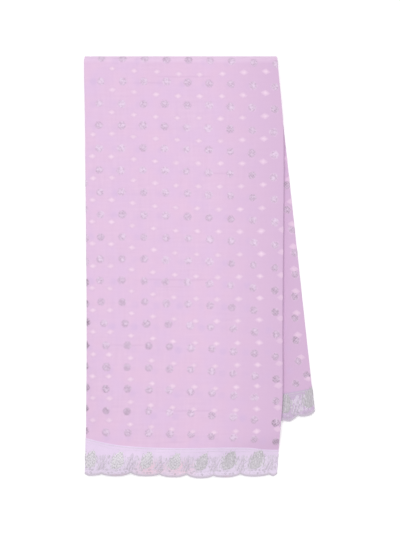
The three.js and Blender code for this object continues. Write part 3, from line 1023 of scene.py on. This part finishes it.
# %% Copies of a motif
def cut_at_folds(shape, radius=TURN):
    """Gives a flat shape an edge at each line where it has to bend round a folded edge."""
    arc = math.pi * (radius - CLOTH / 2)
    low, high = min(v.co.x for v in shape.verts), max(v.co.x for v in shape.verts)
    for line in spaced(radius - arc, radius, arc / 5):
        for place in (line, PANEL - line):
            if low < place < high:
                parts = shape.verts[:] + shape.edges[:] + shape.faces[:]
                bmesh.ops.bisect_plane(shape, geom=parts, plane_co=(place, 0, 0),
                                       plane_no=(1, 0, 0))


def scatter(name, shape, spots, material):
    """One piece of many copies, each a little turned and sized, and laid on its own face."""
    bm = bmesh.new()
    for u, v, face, tone in spots:
        copy = shape.copy()
        turn = Matrix.Rotation(chance.uniform(-0.16, 0.16), 4, "Z")
        size = Matrix.Diagonal((chance.uniform(0.93, 1.06),) * 2 + (1, 1))
        bmesh.ops.transform(copy, verts=copy.verts[:],
                            matrix=Matrix.Translation((u, v, 0)) @ turn @ size)
        cut_at_folds(copy)
        lay_verts(gather(bm, copy, tone), face)
        copy.free()
    shape.free()
    finish_piece(name, bm, material)
    print(len(spots), name)


test = dot.copy()
cut_at_folds(test)
print("faces of a dot, cut to bend round a fold:", len(test.faces))
test.free()

# %% Set out the dots
LEFT_FOLD_DOTS = (117.6, 81.9, 40.6, 8.4, -21, -50.4, -76.3, -108.4, -137.8, -167.2, -196.8, -228.6)
FALL_DOTS = [(121.8, 115.4), (121.8, 80.8), (129.2, 52.6), (132.6, 20.2), (133, -9.8),
             (132.7, -40.5), (133.1, -70.8), (134, -101.9), (137.7, -131.3), (134.2, -162.1),
             (149.4, -150.4)]  # x and y of those that show on the back fall
UNDER_DOTS, UNDER_LOZENGES = 292.2, 307.6  # v that their rows on the underside count from


def dot_tone(i, j):
    """Brightest on the turn, dull low on the left and by the right-hand fold."""
    dull = 0.32 * ease(i, 4, 13) * (1 - ease(j, 1.2, 3)) + 0.16 * ease(j, 4, 7)
    dull += (0.42 * ease(i, 7, 9) + 0.2 * ease(i, 15, 16)) * ease(j, 7, 8)
    return 0.48 + 0.2 * (1 - ease(i, 0, 1)) - dull + chance.uniform(-0.25, 0.25)


def under_dot(i, j):
    return 20.3 + 30.5 * j, UNDER_DOTS + DOT_STEP * i + 6 * (j / 8) ** 1.6


def in_rows(rows, columns, place, margin, tone):
    """Spots on the outer panel, without those that its borders cover."""
    for i in rows:
        for j in columns:
            u, v = place(i, j)
            if seam_front(u) + margin < v < seam_back(u) - margin:
                yield u, v, on_outer, tone(i, j)


def on_the_fall(places, low, high):
    """Spots on the inner panel's face, where it shows at the right."""
    return [(*back_place(*place), on_inner, chance.uniform(low, high)) for place in places]


spots = [*in_rows(range(18), range(9), dot_place, 7, dot_tone)]  # u, v, the face it lies on, tone
spots += [(chance.uniform(-2.4, -0.6), v, on_outer, 0.5 if v > -20 else -0.7)
          for v in LEFT_FOLD_DOTS]
spots += in_rows(range(1, 18), range(9), under_dot, 8, lambda i, j: chance.uniform(0.21, 0.69))
spots += on_the_fall(FALL_DOTS, -0.32, 0.08)
scatter("dots", dot, spots, silver)

# %% Set out the lozenges
FALL_LOZENGES = [(122.9, 152.6), (125.2, 123.2), (127.6, 92.4), (129.2, 60.9), (130.6, 29.4),
                 (131.8, -2.2), (134.2, -33), (135.5, -63.6), (137.1, -94.4), (141.8, -125.6),
                 (151.6, -155.4)]


def under_lozenge(i, j):
    return 8 + 28.6 * j, UNDER_LOZENGES + LOZENGE_STEP * i + 8 * math.sin(math.pi * j / LAST)


spots = []
for i in range(17):
    columns = range(0 if i >= 3 else 1, LAST + 1 if i >= 7 else LAST)
    spots += in_rows([i], columns, lozenge_place, 5,
                     lambda i, k: chance.uniform(0.3, 0.8) - 1.1 * (k == LAST))
spots += in_rows(range(1, 18), range(LAST + 1), under_lozenge, 6,
                 lambda i, j: chance.uniform(0.3, 0.7))
spots += on_the_fall(FALL_LOZENGES, -0.4, 0.1)
scatter("lozenges", lozenge, spots, rose)

# %% [markdown]
# ## A ridge of stitches
# Nearly every part of an embroidered border is a line or leaf of close stitches: a rounded ridge
# on the cloth, even along a cord and swelling in a leaf. So one tool makes them all. It takes a
# grid, wraps its columns round into a low ring at each step of a path, and welds the seam. Where
# the width runs out to nothing the ring closes to a point by itself.

# %% Smooth paths
def point(points, k, closed):
    """Point k of a path that closes on itself, or that stays at its ends."""
    return points[k % len(points) if closed else int(clamp(k, 0, len(points) - 1))]


def flowing(points, count, closed=False):
    """Places along a smooth curve through a few points."""
    spans = len(points) if closed else len(points) - 1
    places = []
    for k in range(count if closed else count + 1):
        i = min(int(k / count * spans), spans - 1)
        t = k / count * spans - i
        around = [point(points, i + d, closed) for d in (-1, 0, 1, 2)]
        places.append([0.5 * (2 * b + (c - a) * t + (2 * a - 5 * b + 4 * c - d) * t * t
                              + (3 * b - a - 3 * c + d) * t ** 3) for a, b, c, d in zip(*around)])
    return places


def sideways(places, closed=False):
    """The direction across the path at each place."""
    normals = []
    for k in range(len(places)):
        (x0, y0), (x1, y1) = point(places, k - 1, closed), point(places, k + 1, closed)
        length = math.dist((x0, y0), (x1, y1)) or 1
        normals.append(((y0 - y1) / length, (x1 - x0) / length))
    return normals


print("across a path:", [[round(c, 2) for c in way] for way in sideways([(0, 0), (3, 4), (6, 4)])])

# %% Stitched ridges
def even(t):
    return 1.0


def leaf(t):
    return math.sin(math.pi * t) ** 0.75


def mango(t):
    """Round below the middle, drawn out to a tip."""
    return math.sin(math.pi * t ** 0.68) ** 0.72


def blunt(t):
    return min(1.0, 0.25 + 5 * min(t, 1 - t))


def inside(outline, start, slope):
    """Where the line y = start + slope x runs inside a closed outline, as pairs of places."""
    hits = []
    for (x0, y0), (x1, y1) in zip(outline, outline[1:] + outline[:1]):
        f0, f1 = y0 - start - slope * x0, y1 - start - slope * x1
        if (f0 < 0) != (f1 < 0):
            x = mix(x0, x1, f0 / (f0 - f1))
            hits.append((x, start + slope * x))
    hits.sort()
    return [(a, b) for a, b in zip(hits[::2], hits[1::2]) if b[0] - a[0] > 1.5]


def stitched(places, width, height, profile=even, closed=False, sides=5, flat=False):
    """A closed ridge along the path. Its texture runs along it, or is flat like the cloth's."""
    n = len(places)
    steps = n if closed else n - 1
    run = [0.0]
    for k in range(steps):
        run.append(run[-1] + math.dist(places[k], places[(k + 1) % n]))
    bm, corners = grid(sides, steps)
    uv = bm.loops.layers.uv.new("cloth")
    for face in bm.faces:
        for loop in face.loops:
            i, j = corners[loop.vert]
            loop[uv].uv = (run[j] * MM, i / sides * 2 * width * MM)
    across = sideways(places, closed)
    for vert, (i, j) in corners.items():
        (x, y), (dx, dy) = places[j % n], across[j % n]
        share, angle = profile(j / steps), 2 * math.pi * i / sides
        side, rise = math.cos(angle) * width / 2 * share, math.sin(angle)
        up = height * min(1, 1.6 * share) * (rise ** 0.7 if rise > 1e-6 else 0)
        vert.co = (x + dx * side, y + dy * side, up)
    bmesh.ops.remove_doubles(bm, verts=bm.verts[:], dist=1e-4)
    bmesh.ops.holes_fill(bm, edges=[e for e in bm.edges if e.is_boundary])
    if flat:
        mark_flat(bm)
    return bm


def rim(places, width, profile):
    """The outline of a leaf, as a closed path."""
    n = len(places) - 1
    sides = [[[place + way * c * width / 2 * profile(k / n) for place, c in zip(p, across)]
              for k, (p, across) in enumerate(zip(places, sideways(places)))] for way in (1, -1)]
    return sides[0] + sides[1][-2:0:-1]


test = stitched(flowing([(0, 0), (2, 5), (0, 9)], 8), 3, 0.5, leaf)
print("a leaf has", len(test.faces), "faces; open edges:", sum(e.is_boundary for e in test.edges))
test.free()

# %% [markdown]
# ## The embroidered borders
# The mango leaf is one of the oldest motifs on Indian cloth: a drop that leans over to its tip,
# filled with crossing stitches. One stands by each scallop, with slanted stems beside it and a
# sprig at each notch. Small curls run along the foot, seed stitches fill the net between, and a
# corded edge keeps the cut cloth from fraying.

# %% One repeat of the border
SPRIG_LEAVES = [  # from x, y to x, y, and width
    (-0.4, 13, 0.6, 22, 4.6), (0.6, 8, 6, 13.5, 3.2), (0.4, 6.5, -5.2, 12.5, 3.2),
    (0.5, 2.5, 4.8, 6, 2.6), (0.4, 2, -4.6, 5.4, 2.6),
]


class Needlework:
    """Three pieces that fill one border: lattice pads, grey cord and pale stitches."""

    def __init__(self, border, seed):
        self.border, self.chance = border, random.Random(seed)
        self.pads, self.cords, self.pale = bmesh.new(), bmesh.new(), bmesh.new()

    def put(self, bm, shape, centre, tone):
        bmesh.ops.translate(shape, verts=shape.verts[:], vec=(centre, 0, 0))
        cut_at_folds(shape, TURN + BAND_LIFT)
        for vert in gather(bm, shape, tone):
            u, above, z = vert.co
            vert.co = self.border.place(u, self.border.v(u, above), z)
        shape.free()

    def mango_leaf(self, centre, tone):
        """A leaning drop of close upright stitches that cross each other, uneven at their ends."""
        uniform = self.chance.uniform
        more = ease(centre, 150, 230)  # the right-hand ones are larger
        width = uniform(17.5, 21) + 4.5 * more
        spine = flowing([(-3.2, 11), (-3.9, 16), (-2.6, 23.5 + more), (0.4, 30.5 + 2 * more),
                         (3.2, uniform(34, 36) + 3 * more)], 14)
        pad = stitched(spine, 0.74 * width, 0.4, mango, sides=10, flat=True)
        self.put(self.pads, pad, centre, tone)
        outline = flowing(rim(spine, width + 1.5, mango), 90, closed=True)
        for slope in (5, -5):
            for start in range(-90, 130, 15):
                for (a, b), (c, d) in inside(outline, start + uniform(-2, 2), slope):
                    low, high = uniform(-4.2, 2) / slope, uniform(-2, 4.2) / slope
                    if slope < 0:
                        low, high = -high, -low
                    ends = [(a + low, b + slope * low), (c + high, d + slope * high)]
                    self.put(self.pads, stitched(flowing(ends, 5), 1.35, 0.62, blunt), centre,
                             tone + uniform(-0.12, 0.58))
        ring = [(-2.6 + 2.1 * math.cos(a), 21.5 + 2.1 * math.sin(a))
                for a in spaced(0, 2 * math.pi, 0.5)[:-1]]
        self.put(self.cords, stitched(ring, 1.2, 0.75, closed=True), centre, tone + 0.2)

    def sprig(self, centre, foot, tone):
        stem = flowing([(0.4, foot), (1, foot + 7), (-0.4, foot + 15)], 8)
        self.put(self.cords, stitched(stem, 1.1, 0.45), centre, tone)
        for x0, y0, x1, y1, width in SPRIG_LEAVES:
            bend = mix(x0, x1, 0.5) + 0.12 * (y0 - y1), foot + mix(y0, y1, 0.5)
            spine = flowing([(x0, foot + y0), bend, (x1, foot + y1)], 7)
            self.put(self.pale, stitched(spine, width, 0.5, leaf, sides=6), centre, tone)

    def curl(self, centre, above, radius, way, tone):
        turns = [(way * radius * (1 - 0.1 * k) * math.cos(0.8 * k),
                  above + radius * (1 - 0.1 * k) * math.sin(0.8 * k)) for k in range(9)]
        bm = self.pale if tone > 0.6 else self.cords
        self.put(bm, stitched(flowing(turns, 12), 0.95, 0.5, sides=4), centre, tone)

    def slanted_stems(self, centre, low, high):
        """A few long strokes side by side, pale and grey in turn, that lean like the mango."""
        for k in range(5):
            at = 7.5 + 1.9 * k
            path = [(at, low), (at + 2.7, mix(low, high, 0.5)), (at + 6.5, high)]
            bm, *tones = (self.cords, 0, 0.5) if k % 2 else (self.pale, 0.2, 0.8)
            self.put(bm, stitched(flowing(path, 8), 1.2, 0.5), centre, self.chance.uniform(*tones))
            low, high = low + self.chance.uniform(-1.5, 1), high - self.chance.uniform(0, 3.5)

    def seed_stitches(self, centre, count):
        """Short upright stitches that fill the net between the larger motifs."""
        uniform = self.chance.uniform
        for _ in range(count):
            a, b = uniform(6, 29), uniform(7, 27)
            lean, long = uniform(-0.6, 2), uniform(2.6, 6.4)
            path = flowing([(a, b), (a + lean, b + long)], 3)
            bm = self.chance.choice((self.pale, self.cords))
            self.put(bm, stitched(path, 1.15, 0.4, leaf), centre, self.chance.random())

    def line(self, bm, above, width, height, tone):
        """One cord along the whole border and a little way round both folds."""
        ends = spaced(-12, -2, 1.7)[:-1] + spaced(-2, 2, 0.4)
        places = ends + spaced(2, PANEL - 2, 1.7)[1:-1] + [PANEL - u for u in ends[::-1]]
        self.put(bm, stitched([(u, above(u)) for u in places], width, height), 0, tone)

print("a sprig has", len(SPRIG_LEAVES), "leaves")

# %% Fill each border
CURL_ROWS = ((4.6, 0), (8.6, 2.5))  # height over the cut edge, and how far each row is moved along


def embroider(name, border, seed, first, last):
    """first and last are the tones of the mangoes on the left and on the right."""
    work = Needlework(border, seed)
    chance, notches = work.chance, border.notches
    for (left, _), (right, _) in zip(notches, notches[1:]):
        centre = (left + right) / 2 + (5 if right - left > 30 else 9)
        if not -8 < centre < PANEL + 4 or right - left < 20:
            continue
        tone = mix(first, last, ease(centre, 105, 190))
        work.mango_leaf(centre, tone + chance.uniform(-0.08, 0.08))
        work.slanted_stems(centre, chance.uniform(9, 11), chance.uniform(23, 28))
        work.seed_stitches(centre, 84 if centre < 130 else 112)
        for row, moved in CURL_ROWS:
            for a in range(8):
                at = centre - 21.5 + 5 * a + chance.uniform(-0.8, 0.8) + moved
                above = scallop_rise(notches, near(at)) + row + chance.uniform(-0.6, 0.6)
                work.curl(at, above, chance.uniform(1.3, 2), chance.choice((-1, 1)),
                          chance.uniform(0.1, 1))
    for u, rise in notches:
        if -4 < u < PANEL + 4:
            work.sprig(u + chance.uniform(1, 3.5), rise + 5.5, chance.uniform(-0.3, 0.1))
    seam = work.pale if name == "front" else work.cords
    work.line(work.cords, lambda u: scallop_rise(notches, near(u)) + 1, 2.1, 0.45, 0)
    work.line(work.cords, lambda u: scallop_rise(notches, near(u)) + 2.9, 0.8, 0.4, 0.7)
    work.line(seam, lambda u: border.width(u) + 0.2, 1.1, 0.3, 0.25)
    work.line(seam, lambda u: border.width(u) - 3.4 + 0.5 * math.sin(u / 9), 0.7, 0.25, 0.35)
    for part, bm, finish in (("lattice", work.pads, jaali), ("cordwork", work.cords, cord_thread),
                             ("pale_stitches", work.pale, pale_thread)):
        finish_piece(f"{name}_{part}", bm, finish)


embroider("front", front_side, 21, 0.7, 0.36)
# The back's low tones are painted shade, where the front stack shades the back fall.
embroider("back", back_side, 22, 0.2, 0.02)
embroider("under", under_side, 23, 0.5, 0.5)

# %% [markdown]
# ## Camera, light and table
# The cloth lies on a pale table under a wide soft light straight above it, so the weave and the
# low swells keep a little shading. The table top is given a faint painted glow, which washes out
# almost all shadow round the cloth. The camera looks straight down through a long lens, which
# keeps the edges parallel.

# %% Table, light and camera
PAINTED_GLOW = 0.16  # painted glow of the table top, which washes out the shadow round the cloth
ROOM_LIGHT = 0.42
LAMP_SIZE, LAMP_POWER = 1.4, 46  # metres, watts
FIELD = 0.7462  # height of the view, in metres

top = Finish("pale_table", roughness=0.6)
top.inputs["Emission Color"].default_value = (1, 1, 1, 1)
top.inputs["Emission Strength"].default_value = PAINTED_GLOW
grain = top.flecks(40, 3)
bm = bmesh.new()
bmesh.ops.create_grid(bm, x_segments=2, y_segments=2, size=6)
table_mesh = bpy.data.meshes.new("table")
bm.to_mesh(table_mesh)
bm.free()
table_mesh.materials.append(
    top.done(top.blend(grain, (0.93, 0.93, 0.93), (0.95, 0.95, 0.95)), top.bump(grain, 0.02)))
add_object("table", table_mesh, (0, 0, -0.0004))

scene = bpy.context.scene
scene.world = bpy.data.worlds.new("room")
scene.world.use_nodes = True
background = scene.world.node_tree.nodes["Background"].inputs
background["Color"].default_value = (1, 1, 1, 1)
background["Strength"].default_value = ROOM_LIGHT

lamp = bpy.data.lights.new("softbox", "AREA")
lamp.shape, lamp.size, lamp.size_y = "RECTANGLE", LAMP_SIZE, LAMP_SIZE
lamp.energy = LAMP_POWER
add_object("softbox", lamp, (-0.08, 0.16, 2.4))

lens = bpy.data.cameras.new("camera")
lens.lens, lens.sensor_fit, lens.sensor_height, lens.sensor_width = 100, "VERTICAL", 36, 36
lens.clip_end = 20
distance = FIELD * lens.lens / lens.sensor_height
scene.camera = add_object("camera", lens, (0, 0.0014, 0.009 + distance))
scene.view_settings.view_transform = "Standard"
print("camera height:", round(scene.camera.location.z, 3))
